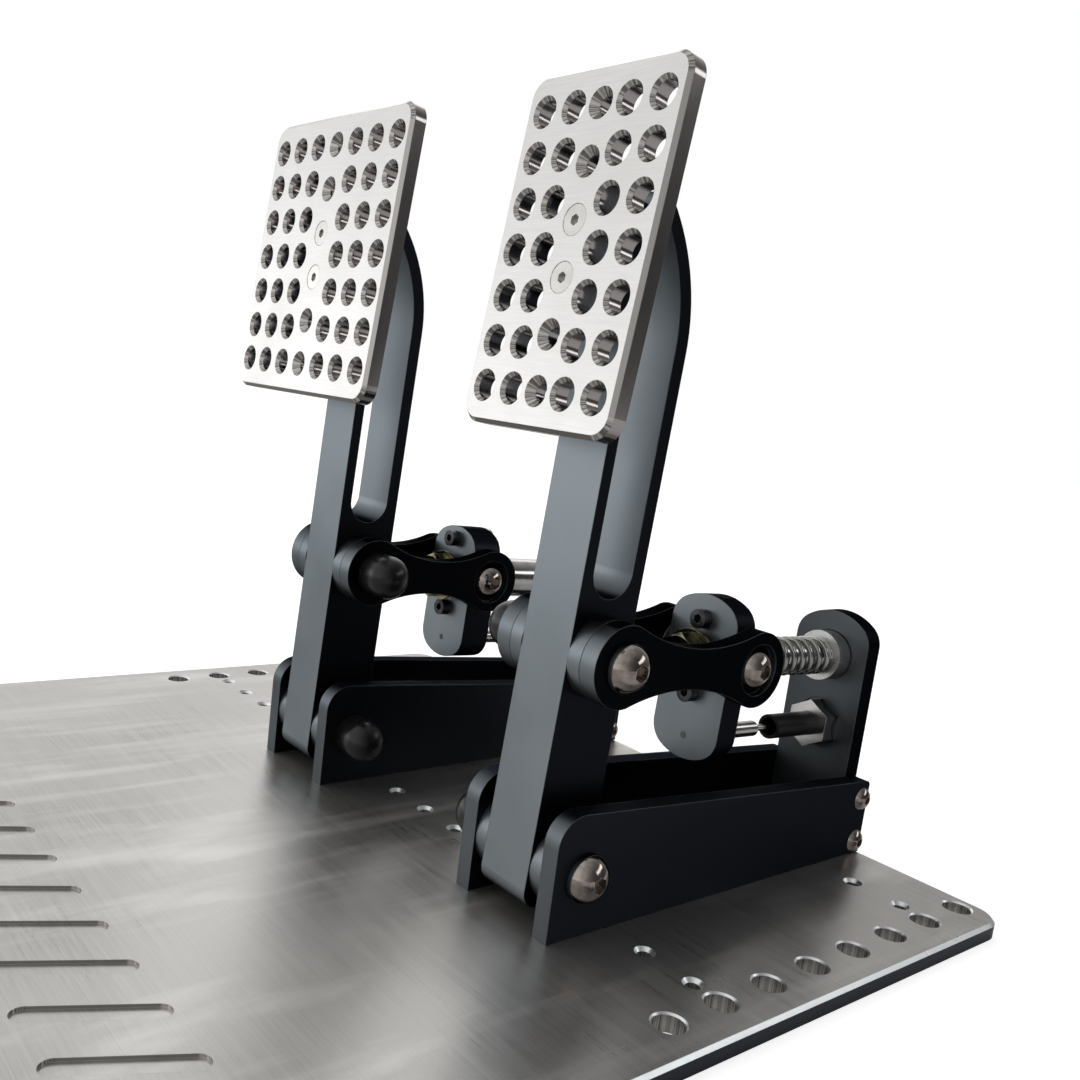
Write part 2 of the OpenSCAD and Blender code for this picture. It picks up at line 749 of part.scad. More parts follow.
// Link axle: bolt, nut and spacers ride on the arm
module link_bolt(u) {
    color(steel) on_arm(u) translate([0, 0, link_axle_w]) axle_bolt_x(u, side_out + face_gap);
}
module link_nut(u) {
    color(steel) on_arm(u) translate([0, 0, link_axle_w]) lock_nut_x(-head_side[u], side_out + face_gap);
}
module link_spacers(u) {
    seat = side_out + face_gap;
    color(black) on_arm(u) translate([0, 0, link_axle_w]) {
        for (side = SIDES) ring_x(side, link_spacer_d, bolt_d, arm_side, side_in - face_gap);
        ring_x(head_side[u], washer_d, bolt_d, seat, seat + head_washer_t);
    }
}
// Dog-bone outline from the axle at 0 to the axle at len, its hollows cut a little into the round ends
module link_outline(len) {
    half = link_waist / 2;
    blend_r = link_end_r - link_blend;
    hollow_r = (len * len / 4 + half * half - blend_r * blend_r) / (2 * (blend_r - half));
    hollow_z = hollow_r + half;
    meet = (link_end_r - link_blend / 2) / (blend_r + hollow_r);
    meet_y = len / 2 * meet;
    meet_z = hollow_z * meet;
    difference() {
        union() {
            for (y = [0, len]) translate([y, 0]) circle(r = link_end_r);
            translate([meet_y, -meet_z]) square([len - 2 * meet_y, 2 * meet_z]);
        }
        for (s = SIDES) translate([len / 2, s * hollow_z]) circle(r = hollow_r, $fn = 180);
    }
}
module link(u, side) {
    eye_d = bolt_d + 2 * eye_play;
    color(black) on_link(u) mirror([side > 0 ? 0 : 1, 0, 0]) difference() {
        across(side_in, side_out) link_outline(link_len[u]);
        pin_x(bolt_d + 2 * turn_play, side_in - 1, side_out + 1);
        translate([0, link_len[u], 0]) {
            pin_x(eye_d, side_in - 1, side_out + 1);
            pin_x(eye_sink_d, side_out - eye_sink_depth, side_out + 1);
        }
    }
}

// Carriage: the plate between the links' rear ends, with its rod and screws
eye_screw_tip = rod_d / 2 + 2;
module carrier_plate(u) {
    half = carrier_w / 2;
    end = plate_end_depth(half);
    color(black) on_rod(u) difference() {
        along(carrier_front, carrier_rear(u)) {
            translate([-half, end - carrier_down])
                square([carrier_w, carrier_up[u] + carrier_down - 2 * end]);
            translate([0, carrier_up[u]]) plate_end(half);
            translate([0, -carrier_down]) mirror([0, 1]) plate_end(half);
        }
        pin_y(rod_d, carrier_front - 1, carrier_rear(u) + 1);
        for (s = SIDES) translate([0, 0, rod_below])
            pin_x(bolt_d, min(s * eye_screw_tip, s * carrier_w), max(s * eye_screw_tip, s * carrier_w));
        for (s = SIDES)
            translate([0, 0, screw_z(u, s)]) pin_y(carrier_bolt_d, carrier_front - 1, carrier_rear(u) + 1);
        translate([0, 0, -sensor_drop]) pin_y(needle_d, carrier_front - 1, carrier_rear(u) + 1);
    }
}
module link_end_screws(u) {
    head_x = side_out - eye_sink_depth + face_gap;
    color(steel) on_eye(u) for (side = SIDES)
        button_screw_x(bolt_d, eye_button_d, button_h, button_socket,
            side * head_x, side * (eye_screw_tip + 0.5));
}
module link_washers(u) {
    color(steel) on_eye(u)
        for (side = SIDES) ring_x(side, washer_d, bolt_d, carrier_w / 2, side_in - face_gap);
}
module carrier_screws(u) {
    color(steel) on_rod(u) for (s = SIDES)
        translate([0, 0, screw_z(u, s)]) difference() {
            union() {
                pin_y(cap_head_d, carrier_front - cap_head_h, carrier_front);
                pin_y(carrier_bolt_d, carrier_front - eps, flange_rear(u));
            }
            hex_y(cap_socket, carrier_front - cap_head_h - 1, carrier_front - cap_head_h / 2);
        }
}
rod_tail = 7;
function rod_tip() = carrier_front - rod_washer_t - rod_nut_h - 3.5;
module guide_rod(u) {
    tail = bush_seat(u) + upright_t + rod_tail;
    color(steel) on_rod(u) bevelled_pin_y(rod_d, rod_tip(), tail, 1);
}
// Flanged lock nut, its hexagon bevelled in front
module rod_nut(u) {
    rear = carrier_front - rod_washer_t;
    front = rear - rod_nut_h;
    bevel_y = 1.2;
    bevel_d = rod_nut_af + 4;
    color(steel) on_rod(u) difference() {
        union() {
            intersection() {
                hex_y(rod_nut_af, front, rear);
                union() {
                    cone_y(rod_nut_af, bevel_d, front, front + bevel_y);
                    pin_y(bevel_d, front + bevel_y, rear);
                }
            }
            pin_y(rod_flange_d, rear - rod_flange_t, rear);
        }
        pin_y(rod_d, front - 1, rear + 1);
    }
}
module rod_washer(u) {
    color(black) on_rod(u) difference() {
        pin_y(rod_washer_d, carrier_front - rod_washer_t, carrier_front);
        pin_y(rod_d, carrier_front - rod_washer_t - 1, carrier_front + 1);
    }
}
// Flange behind the carrier plate, with room for the two carrier screws
module seat_flange(u) {
    half_w = 8.5;
    end_r = 5.7;
    front = carrier_rear(u);
    rear = flange_rear(u);
    difference() {
        along(front, rear) {
            translate([0, carrier_screw_mid]) square([2 * half_w, 2 * carrier_screw_h[u]], center = true);
            for (s = SIDES) translate([0, screw_z(u, s)]) circle(r = end_r);
        }
        for (s = SIDES) translate([0, 0, screw_z(u, s)]) pin_y(carrier_bolt_d, front - 1, rear + 1);
    }
}
module throttle_spring_cup() {
    front = carrier_rear(THROTTLE);
    floor_y = flange_rear(THROTTLE);
    wall = 1.5;
    color(steel) on_rod(THROTTLE) difference() {
        union() {
            seat_flange(THROTTLE);
            pin_y(cup_od, front, floor_y + cup_depth);
        }
        pin_y(rod_d, front - 1, floor_y + 1);
        pin_y(cup_od - 2 * wall, floor_y, floor_y + cup_depth + 1);
    }
}
module brake_load_sleeve() {
    front = carrier_rear(BRAKE);
    color(steel) on_rod(BRAKE) difference() {
        union() {
            seat_flange(BRAKE);
            pin_y(sleeve_d, front, front + sleeve_len);
        }
        pin_y(rod_d, front - 1, front + sleeve_len + 1);
    }
}
// Urethane pad that the sleeve presses against the guide bush, with three waists
module brake_load_pad() {
    front = carrier_rear(BRAKE) + sleeve_len;
    rear = bush_front(BRAKE);
    waists = 3;
    step = (rear - front) / waists;
    groove_r = step / 5;
    color(nylon) on_rod(BRAKE) translate([0, front, 0]) rotate([-90, 0, 0])
        rotate_extrude() difference() {
            translate([rod_d / 2 + 0.3, 0]) square([sleeve_d / 2 - rod_d / 2 - 0.3, rear - front]);
            for (i = [0 : waists - 1])
                translate([sleeve_d / 2, (i + 0.5) * step]) circle(r = groove_r, $fn = 32);
        }
}
// Plunger on the carrier plate's lower lobe and the needle that it pushes into the sensor
module sensor_plunger(u) {
    color(steel) on_rod(u) translate([0, 0, -sensor_drop]) {
        pin_y(needle_d, carrier_front, carrier_rear(u));
        pin_y(plunger_d, carrier_rear(u), plunger_reach);
        pin_y(needle_d, plunger_reach, plunger_reach + needle_len);
    }
}

// Throttle spring: one wire, wound by formula, with a short straight leg at each end
SPRING_SIDES = 6;
RINGS_PER_TURN = 8;
spring_r = (spring_od - spring_wire) / 2;
spring_start = flange_rear(THROTTLE);
spring_end = bush_front(THROTTLE);
spring_rings = spring_turns * RINGS_PER_TURN;
leg = spring_wire;
bend = spring_wire * 0.8;
coil_start = leg + bend;
coil_rise = spring_end - spring_start - 2 * coil_start;
function coil_point(i) = [
    spring_r * cos(i * 360 / RINGS_PER_TURN),
    coil_start + coil_rise * i / spring_rings,
    spring_r * sin(i * 360 / RINGS_PER_TURN)
];
// Points of one end: the leg stands square on its seat, then curves into the first turn
leg_points = concat(
    [for (y = [0, leg]) [spring_r, y, -bend]],
    [[spring_r, leg + bend * (1 - cos(45)), -bend * cos(45)]]
);
spring_path = concat(
    leg_points,
    [for (i = [0 : spring_rings]) coil_point(i)],
    [for (i = [len(leg_points) - 1 : -1 : 0])
        [leg_points[i][0], spring_end - spring_start - leg_points[i][1], -leg_points[i][2]]]
);
function unit(v) = v / norm(v);
function path_heading(p, i) = unit(p[min(i + 1, len(p) - 1)] - p[max(i - 1, 0)]);
// Rings are laid out against the spring's radius, which never turns along the wire
function ring_points(p, i, r) =
    let (
        t = path_heading(p, i),
        out = unit([p[i][0], 0, p[i][2]]),
        a = unit(out - t * (out * t)),
        b = cross(t, a)
    )
    [for (k = [0 : SPRING_SIDES - 1])
        p[i] + r * (cos(k * 360 / SPRING_SIDES) * a + sin(k * 360 / SPRING_SIDES) * b)];
module wire(p, d) {
    n = SPRING_SIDES;
    last = len(p) - 1;
    points = [for (i = [0 : last]) each ring_points(p, i, d / 2)];
    walls = [for (i = [0 : last - 1], k = [0 : n - 1])
        let (k2 = (k + 1) % n)
        each [
            [i * n + k, i * n + k2, (i + 1) * n + k],
            [i * n + k2, (i + 1) * n + k2, (i + 1) * n + k]
        ]];
    caps = [for (k = [1 : n - 2]) each [[0, k + 1, k], [last * n, last * n + k, last * n + k + 1]]];
    polyhedron(points = points, faces = [for (f = concat(walls, caps)) [f[0], f[2], f[1]]], convexity = 10);
}
// Least gap of the wire to itself, over points at least half a turn apart
apart = RINGS_PER_TURN / 2;
spring_self_gap = min([for (i = [0 : len(spring_path) - 1 - apart], j = [i + apart : len(spring_path) - 1])
    norm(spring_path[i] - spring_path[j])]) - spring_wire;
echo(spring_self_gap = spring_self_gap);
module throttle_spring() {
    color(steel) on_rod(THROTTLE) translate([0, spring_start, 0]) wire(spring_path, spring_wire);
}

base_plate();
foot_screws();
upright_screws();
pivot_bolts();
pivot_nuts();
pivot_spacers();
guide_bushes();
sensor_nuts();
pivot_cap(BRAKE);  // brake_pivot_cap
link_cap(BRAKE);  // brake_link_cap
pivot_cap(THROTTLE);  // throttle_pivot_cap
link_cap(THROTTLE);  // throttle_link_cap

side_plate(BRAKE, -1);  // brake_left_side_plate
side_plate(BRAKE, 1);  // brake_right_side_plate
upright(BRAKE);  // brake_upright
sensor_body(BRAKE);  // brake_sensor_body
arm(BRAKE);  // brake_arm
arm_bushes(BRAKE);  // brake_arm_bushes
face_block(BRAKE);  // brake_face_block
face_plate(BRAKE);  // brake_face_plate
face_screws(BRAKE);  // brake_face_screws
link_bolt(BRAKE);  // brake_link_bolt
link_nut(BRAKE);  // brake_link_nut
link_spacers(BRAKE);  // brake_link_spacers
link(BRAKE, -1);  // brake_left_link
link(BRAKE, 1);  // brake_right_link
carrier_plate(BRAKE);  // brake_carrier_plate
link_end_screws(BRAKE);  // brake_link_end_screws
link_washers(BRAKE);  // brake_link_washers
carrier_screws(BRAKE);  // brake_carrier_screws
guide_rod(BRAKE);  // brake_guide_rod
rod_nut(BRAKE);  // brake_rod_nut
rod_washer(BRAKE);  // brake_rod_washer
brake_load_sleeve();
brake_load_pad();
sensor_plunger(BRAKE);  // brake_sensor_plunger

side_plate(THROTTLE, -1);  // throttle_left_side_plate
side_plate(THROTTLE, 1);  // throttle_right_side_plate
upright(THROTTLE);  // throttle_upright
sensor_body(THROTTLE);  // throttle_sensor_body
arm(THROTTLE);  // throttle_arm
arm_bushes(THROTTLE);  // throttle_arm_bushes
face_block(THROTTLE);  // throttle_face_block
face_plate(THROTTLE);  // throttle_face_plate
face_screws(THROTTLE);  // throttle_face_screws
link_bolt(THROTTLE);  // throttle_link_bolt
link_nut(THROTTLE);  // throttle_link_nut
link_spacers(THROTTLE);  // throttle_link_spacers
link(THROTTLE, -1);  // throttle_left_link
link(THROTTLE, 1);  // throttle_right_link
carrier_plate(THROTTLE);  // throttle_carrier_plate
link_end_screws(THROTTLE);  // throttle_link_end_screws
link_washers(THROTTLE);  // throttle_link_washers
carrier_screws(THROTTLE);  // throttle_carrier_screws
guide_rod(THROTTLE);  // throttle_guide_rod
rod_nut(THROTTLE);  // throttle_rod_nut
rod_washer(THROTTLE);  // throttle_rod_washer
throttle_spring_cup();
throttle_spring();
sensor_plunger(THROTTLE);  // throttle_sensor_plunger
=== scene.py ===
"""Racing simulator pedal set: brake and throttle pedals on a drilled, brushed steel plate."""

import json
import math

import bmesh
import bpy
from mathutils import Matrix, Vector


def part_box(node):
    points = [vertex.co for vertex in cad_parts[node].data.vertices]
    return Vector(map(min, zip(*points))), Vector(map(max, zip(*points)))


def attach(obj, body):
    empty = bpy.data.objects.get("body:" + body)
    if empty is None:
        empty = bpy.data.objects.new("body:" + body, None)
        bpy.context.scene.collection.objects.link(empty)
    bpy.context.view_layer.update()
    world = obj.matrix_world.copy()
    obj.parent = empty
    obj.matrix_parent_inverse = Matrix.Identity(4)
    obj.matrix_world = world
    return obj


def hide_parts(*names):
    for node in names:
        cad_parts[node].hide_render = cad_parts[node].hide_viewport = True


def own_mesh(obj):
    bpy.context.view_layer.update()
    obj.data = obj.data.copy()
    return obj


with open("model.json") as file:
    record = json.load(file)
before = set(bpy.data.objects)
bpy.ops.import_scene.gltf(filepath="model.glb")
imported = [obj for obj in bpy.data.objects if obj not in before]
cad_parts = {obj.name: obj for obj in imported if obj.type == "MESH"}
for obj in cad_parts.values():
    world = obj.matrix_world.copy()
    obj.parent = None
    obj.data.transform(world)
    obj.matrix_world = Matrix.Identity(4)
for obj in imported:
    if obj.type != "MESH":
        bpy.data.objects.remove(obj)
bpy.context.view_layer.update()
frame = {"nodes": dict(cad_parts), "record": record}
nodes = frame["nodes"]
record = frame["record"]
MM = 0.001
units = ("brake", "throttle")

# Camera, solved for the photograph's square frame
camera_place = Vector((0.345607, -0.219046, 0.174048))
camera_right = Vector((0.61474, 0.77973, 0.11883))
camera_up = Vector((-0.20266, 0.01055, 0.97919))
camera_back = Vector((0.76225, -0.62603, 0.16450))
camera_clip = 10 * MM
lens_mm = 36.385
sensor_mm = 36
frame_shift = (0.0491, 0.0252)

# Throttle spring, along its guide rod
spring_od = 15.4 * MM
spring_wire = 2.2 * MM
spring_turns = 10
spring_end_turns = 1
spring_end_pitch = 2.35 * MM
spring_behind_tip = 28.7 * MM
spring_len = 61.22 * MM
wire_sides = 12
wire_steps_per_turn = 32

# Brake pad, along its guide rod
pad_od = 18 * MM
pad_bore = 10.6 * MM
pad_behind_tip = 65.3 * MM
pad_len = 32.38 * MM
pad_lip = 0.8 * MM
pad_waists = 3
pad_waist_depth = 2.3 * MM
pad_waist_power = 0.7
pad_rows = 48
pad_spin_steps = 64
weld_distance = 0.001 * MM

# Radius of the flat on each bevelled end of a guide rod
rod_end_r = 4 * MM

# Floor
floor_half_width = 6
floor_drop = 0.2 * MM
floor_grey = 0.70
floor_glow = 0.7
floor_roughness = 0.9
floor_specular = 0.1

# Brightness of the room: towards, from and to which cosine it changes, from and to which level
room_colour = (1.0, 0.992, 0.98)
room_side = ((-0.80, -0.56, 0.0), (-1.0, 0.65), (0.05, 0.95))
room_height = ((0, 0, 1), (0.0, 0.65), (1.14, 0.93))

# Lamps: place, target, width and height, watts
lamps = {
    "front_light": ((-1.2, -0.9, 0.2), (0.03, 0.05, 0.1), (1.3, 0.6), 2),
    "back_light": ((-0.8, 0.65, 0.85), (0.0, -0.1, 0.0), (0.8, 0.8), 1.5),
    "rim_light": ((1.43, 1.62, 1.19), (0.185, 0.0, 0.0), (2.0, 0.4), 5),
}

# Sockets of a colour mix, and the values between which most of a noise lies
mix_dark = 6
mix_light = 7
mix_result = 2
noise_low = 0.3
noise_high = 0.7
bevel_samples = 4


def camera():
    """The photograph's view."""
    data = bpy.data.cameras.new("camera")
    data.lens = lens_mm
    data.sensor_width = sensor_mm
    data.shift_x, data.shift_y = frame_shift
    data.clip_start = camera_clip
    eye = bpy.data.objects.new("camera", data)
    axes = Matrix((camera_right, camera_up, camera_back)).transposed().to_4x4()
    eye.matrix_world = Matrix.Translation(camera_place) @ axes
    bpy.context.scene.collection.objects.link(eye)
    bpy.context.scene.camera = eye


class Tree:
    """Short calls for a material's nodes and links."""

    def __init__(self, name):
        self.material = bpy.data.materials.new(name)
        self.material.use_nodes = True
        self.nodes = self.material.node_tree.nodes
        self.links = self.material.node_tree.links
        self.shader = self.nodes["Principled BSDF"]
        self.place = self.add("ShaderNodeTexCoord").outputs["Object"]

    def add(self, kind, **settings):
        node = self.nodes.new(kind)
        for key, value in settings.items():
            setattr(node, key, value)
        return node

    def join(self, source, target):
        self.links.new(source, target)

    def scaled(self, scale, turn):
        """The place on the object, scaled along its axes and turned in degrees round Z."""
        mapping = self.add("ShaderNodeMapping")
        mapping.inputs["Scale"].default_value = scale
        mapping.inputs["Rotation"].default_value = (0, 0, math.radians(turn))
        self.join(self.place, mapping.inputs["Vector"])
        return mapping.outputs["Vector"]

    def noise(self, scale, detail, stretch=(1, 1, 1), turn=0):
        node = self.add("ShaderNodeTexNoise")
        node.inputs["Scale"].default_value = scale
        node.inputs["Detail"].default_value = detail
        self.join(self.scaled(stretch, turn), node.inputs["Vector"])
        return node.outputs["Fac"]

    def ramp(self, fac, low, high, dark=0, light=1):
        """Runs from dark to light while the factor runs from low to high."""
        node = self.add("ShaderNodeMapRange")
        node.inputs["From Min"].default_value = low
        node.inputs["From Max"].default_value = high
        node.inputs["To Min"].default_value = dark
        node.inputs["To Max"].default_value = light
        self.join(fac, node.inputs["Value"])
        return node.outputs["Result"]

    def spread(self, noise, dark=0, light=1):
        """Stretches a noise's usual values to run from dark to light."""
        return self.ramp(noise, noise_low, noise_high, dark, light)

    def math(self, operation, a, b):
        node = self.add("ShaderNodeMath", operation=operation)
        for socket, value in zip(node.inputs, (a, b)):
            if isinstance(value, (int, float)):
                socket.default_value = value
            else:
                self.join(value, socket)
        return node.outputs[0]

    def blend(self, fac, dark, light):
        node = self.add("ShaderNodeMix", data_type="RGBA")
        self.join(fac, node.inputs["Factor"])
        for number, value in ((mix_dark, dark), (mix_light, light)):
            if isinstance(value, tuple):
                node.inputs[number].default_value = (*value, 1)
            else:
                self.join(value, node.inputs[number])
        return node.outputs[mix_result]

    def rounded(self, radius):
        node = self.add("ShaderNodeBevel", samples=bevel_samples)
        node.inputs["Radius"].default_value = radius
        return node.outputs["Normal"]

    def edge_highlight_mask(self, radius):
        """From 0 on flat surfaces to 1 along sharp edges."""
        product = self.add("ShaderNodeVectorMath", operation="DOT_PRODUCT")
        self.join(self.rounded(radius), product.inputs[0])
        self.join(self.add("ShaderNodeNewGeometry").outputs["Normal"], product.inputs[1])
        return self.ramp(self.math("SUBTRACT", 1, product.outputs["Value"]), 0.01, 0.12)

    def finish(self, metallic, roughness, colour, height, depth, edge=0.35 * MM, edge_tint=1.0):
        """Sets the shader; height bumps by depth in metres, over edges rounded by edge."""
        shader = self.shader
        shader.inputs["Metallic"].default_value = metallic
        shader.inputs["Specular Tint"].default_value = (edge_tint, edge_tint, edge_tint, 1)
        self.join(colour, shader.inputs["Base Color"])
        self.join(roughness, shader.inputs["Roughness"])
        bump = self.add("ShaderNodeBump")
        bump.inputs["Distance"].default_value = depth
        bump.inputs["Strength"].default_value = 1
        self.join(height, bump.inputs["Height"])
        if edge:
            self.join(self.rounded(edge), bump.inputs["Normal"])
        self.join(bump.outputs["Normal"], shader.inputs["Normal"])
        return self.material


def facing(tree, axis):
    """How squarely a surface faces along one of the object's axes, from 0 to 1."""
    coordinates = tree.add("ShaderNodeTexCoord")
    split = tree.add("ShaderNodeSeparateXYZ")
    tree.join(coordinates.outputs["Normal"], split.inputs[0])
    return tree.math("ABSOLUTE", split.outputs[axis], 0)


def outer_edge(tree, node, depth):
    """1 within a depth of the sides of a node's box, 0 inside."""
    low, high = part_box(node)
    split = tree.add("ShaderNodeSeparateXYZ")
    tree.join(tree.place, split.inputs[0])
    rim = 0
    for axis in (0, 1):
        offset = tree.math("SUBTRACT", split.outputs[axis], (low[axis] + high[axis]) / 2)
        limit = (high[axis] - low[axis]) / 2 - depth
        beyond = tree.math("GREATER_THAN", tree.math("ABSOLUTE", offset, 0), limit)
        rim = tree.math("MAXIMUM", rim, beyond)
    return rim


def facing_bands(tree, scale):
    """Noise bands of tone that change with the way a surface faces, not with where it is."""
    coordinates = tree.add("ShaderNodeTexCoord")
    node = tree.add("ShaderNodeTexNoise")
    node.inputs["Scale"].default_value = scale
    node.inputs["Detail"].default_value = 1
    tree.join(coordinates.outputs["Normal"], node.inputs["Vector"])
    return node.outputs["Fac"]


def brushed_plate():
    """Warm grey steel, brushed left to right, with handling marks and soft cloudy patches; its
    chamfers carry a painted highlight, its outer sides a painted dark reflection, and its hole walls
    painted shade and highlight.
    """
    tree = Tree("brushed_plate")
    grain = tree.noise(scale=1800, detail=2, stretch=(0.02, 1, 1))
    coarse = tree.noise(scale=420, detail=2, stretch=(0.05, 1, 1))
    cloud = tree.noise(scale=14, detail=4)
    marks = tree.noise(scale=60, detail=6, stretch=(1, 0.25, 1), turn=35)
    lines = tree.math("ADD", tree.math("MULTIPLY", grain, 0.6), tree.math("MULTIPLY", coarse, 0.4))
    body = tree.blend(tree.spread(lines), (0.38, 0.37, 0.358), (0.51, 0.50, 0.485))
    wear_and_edge_highlight = tree.blend(tree.ramp(cloud, 0.35, 0.7, 0, 0.6), body, (0.565, 0.55, 0.53))
    wiped = tree.blend(tree.ramp(marks, 0.55, 0.72, 0, 0.6), wear_and_edge_highlight, (0.70, 0.685, 0.665))
    streaks = tree.noise(scale=75, detail=4, stretch=(1, 0.09, 1), turn=-38)
    swirl = tree.ramp(streaks, 0.56, 0.72)
    top = tree.blend(tree.math("MULTIPLY", swirl, 0.45), wiped, (0.74, 0.725, 0.70))
    # Hole walls painted from dark to light in bands by facing, as painted shade and highlight; outer
    # sides painted blue black as a painted dark reflection.
    bands = tree.ramp(facing_bands(tree, 7), 0.4, 0.6)
    bore = tree.blend(bands, (0.22, 0.21, 0.20), (0.80, 0.78, 0.75))
    wall = tree.blend(outer_edge(tree, "base_plate", 0.7 * MM), bore, (0.045, 0.052, 0.066))
    upright = facing(tree, "Z")
    # Painted highlight: chamfers painted a near white, bluish colour.
    painted_chamfer_highlight = (0.84, 0.88, 0.90)
    sides = tree.blend(tree.ramp(upright, 0.35, 0.5), wall, painted_chamfer_highlight)
    colour = tree.blend(tree.ramp(upright, 0.85, 0.95), sides, top)
    fine = tree.spread(lines, -0.03, 0.05)
    dulled = tree.math("ADD", fine, tree.math("MULTIPLY", swirl, 0.08))
    rough = tree.math("ADD", tree.spread(cloud, 0.26, 0.36), dulled)
    tree.shader.inputs["Anisotropic"].default_value = 0.6
    across = tree.add("ShaderNodeCombineXYZ")
    across.inputs["Y"].default_value = 1
    tree.join(across.outputs[0], tree.shader.inputs["Tangent"])
    return tree.finish(0.9, rough, colour, lines, depth=0.02 * MM, edge=0.3 * MM)


def satin_face():
    """Bright satin plate of the pedal faces, with a fine grain, dark bores and polished edges; its
    countersinks are painted darker as painted shade.
    """
    tree = Tree("satin_face")
    grain = tree.noise(scale=1700, detail=3, stretch=(0.05, 1, 1))
    cloud = tree.noise(scale=22, detail=4)
    flat = facing(tree, "Y")
    body = tree.blend(tree.spread(grain), (0.675, 0.675, 0.67), (0.745, 0.745, 0.74))
    soft = tree.blend(tree.ramp(cloud, 0.35, 0.7, 0, 0.5), body, (0.66, 0.65, 0.635))
    bands = tree.ramp(facing_bands(tree, 9), 0.42, 0.6)
    # Painted shade: countersink cones painted darker than the face, in bands by facing.
    cone = tree.blend(bands, (0.20, 0.19, 0.185), (0.60, 0.58, 0.56))
    edge = (0.50, 0.465, 0.46)
    wall = tree.blend(tree.ramp(flat, 0.25, 0.45), edge, cone)
    colour = tree.blend(tree.ramp(flat, 0.8, 0.93), wall, soft)
    satin = tree.spread(cloud, 0.34, 0.42)
    rough = tree.math("SUBTRACT", satin, tree.ramp(flat, 0.7, 0.9, 0.2, 0))
    return tree.finish(1, rough, colour, grain, depth=0.008 * MM, edge=0.3 * MM)


def black_anodised(name, painted_sheen, painted_side_level=1.0):
    """Black anodising, with painted light and shade: sides painted deep black as painted shade,
    fronts and backs given a blue grey painted sheen, edges lightened by a painted highlight.
    """
    tree = Tree(name)
    grit = tree.noise(scale=2600, detail=3)
    cloud = tree.noise(scale=30, detail=3)
    faces_front = facing(tree, "Y")
    grey = (0.143, 0.161, 0.175)
    dull = tuple(value * painted_sheen * 0.9 for value in grey)
    bright = tuple(value * painted_sheen * 1.1 for value in grey)
    # Painted light and shade: surfaces facing front or back take a blue grey painted sheen, the
    # other sides a painted deep black.
    front = tree.blend(tree.spread(cloud), dull, bright)
    side = tuple(value * painted_side_level for value in (0.019, 0.021, 0.026))
    body = tree.blend(tree.ramp(faces_front, 0.35, 0.95), side, front)
    # Painted highlight: sharp edges lightened towards a grey, patchy along their length.
    wear_and_edge_highlight = tree.math("MULTIPLY", tree.edge_highlight_mask(0.5 * MM), tree.ramp(cloud, 0.3, 0.6, 0.4, 1))
    colour = tree.blend(wear_and_edge_highlight, body, (0.16, 0.17, 0.18))
    rough = tree.spread(cloud, 0.38, 0.46)
    return tree.finish(
        1, rough, colour, grit, depth=0.008 * MM, edge=0.4 * MM, edge_tint=0.25,
    )


def polished(name, dark, light, rough, edge=0.25 * MM, side=None):
    """Turned and polished steel with faint bands by facing and fingerprints; side darkens the
    surfaces that do not face front or back, as painted shade.
    """
    tree = Tree(name)
    smudge = tree.noise(scale=160, detail=4)
    fine = tree.noise(scale=3000, detail=2)
    bands = facing_bands(tree, 5)
    tone = tree.math("ADD", tree.math("MULTIPLY", smudge, 0.5), tree.math("MULTIPLY", bands, 0.5))
    colour = tree.blend(tree.ramp(tone, 0.38, 0.62), dark, light)
    # Painted shade: surfaces turned away from front and back take the darker side colour.
    if side:
        colour = tree.blend(tree.ramp(facing(tree, "Y"), 0.6, 0.9), side, colour)
    return tree.finish(1, tree.spread(smudge, *rough), colour, fine, depth=0.003 * MM, edge=edge)


def moulded(name, dark, light, rough, depth, gloss=0.5):
    """Moulded plastic or rubber with a fine, slightly uneven skin."""
    tree = Tree(name)
    grit = tree.noise(scale=1500, detail=4)
    cloud = tree.noise(scale=90, detail=3)
    colour = tree.blend(tree.spread(cloud), dark, light)
    tree.shader.inputs["Specular IOR Level"].default_value = gloss
    return tree.finish(0, tree.spread(cloud, *rough), colour, grit, depth=depth, edge=0.3 * MM)


def plunger():
    """Ground steel needle whose front end, flush in the black carrier, is blackened as well."""
    tree = Tree("needle_with_black_end")
    smudge = tree.noise(scale=160, detail=4)
    split = tree.add("ShaderNodeSeparateXYZ")
    tree.join(tree.place, split.inputs[0])
    carrier_rears = [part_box(unit + "_carrier_plate")[1].y for unit in units]
    steel_from = min(carrier_rears) - 2 * MM
    steel = tree.blend(tree.spread(smudge), (0.52, 0.51, 0.50), (0.62, 0.61, 0.60))
    behind = tree.math("GREATER_THAN", split.outputs["Y"], steel_from)
    colour = tree.blend(behind, (0.10, 0.11, 0.12), steel)
    rough = tree.spread(smudge, 0.14, 0.22)
    return tree.finish(1, rough, colour, smudge, depth=0.003 * MM, edge=0.2 * MM)


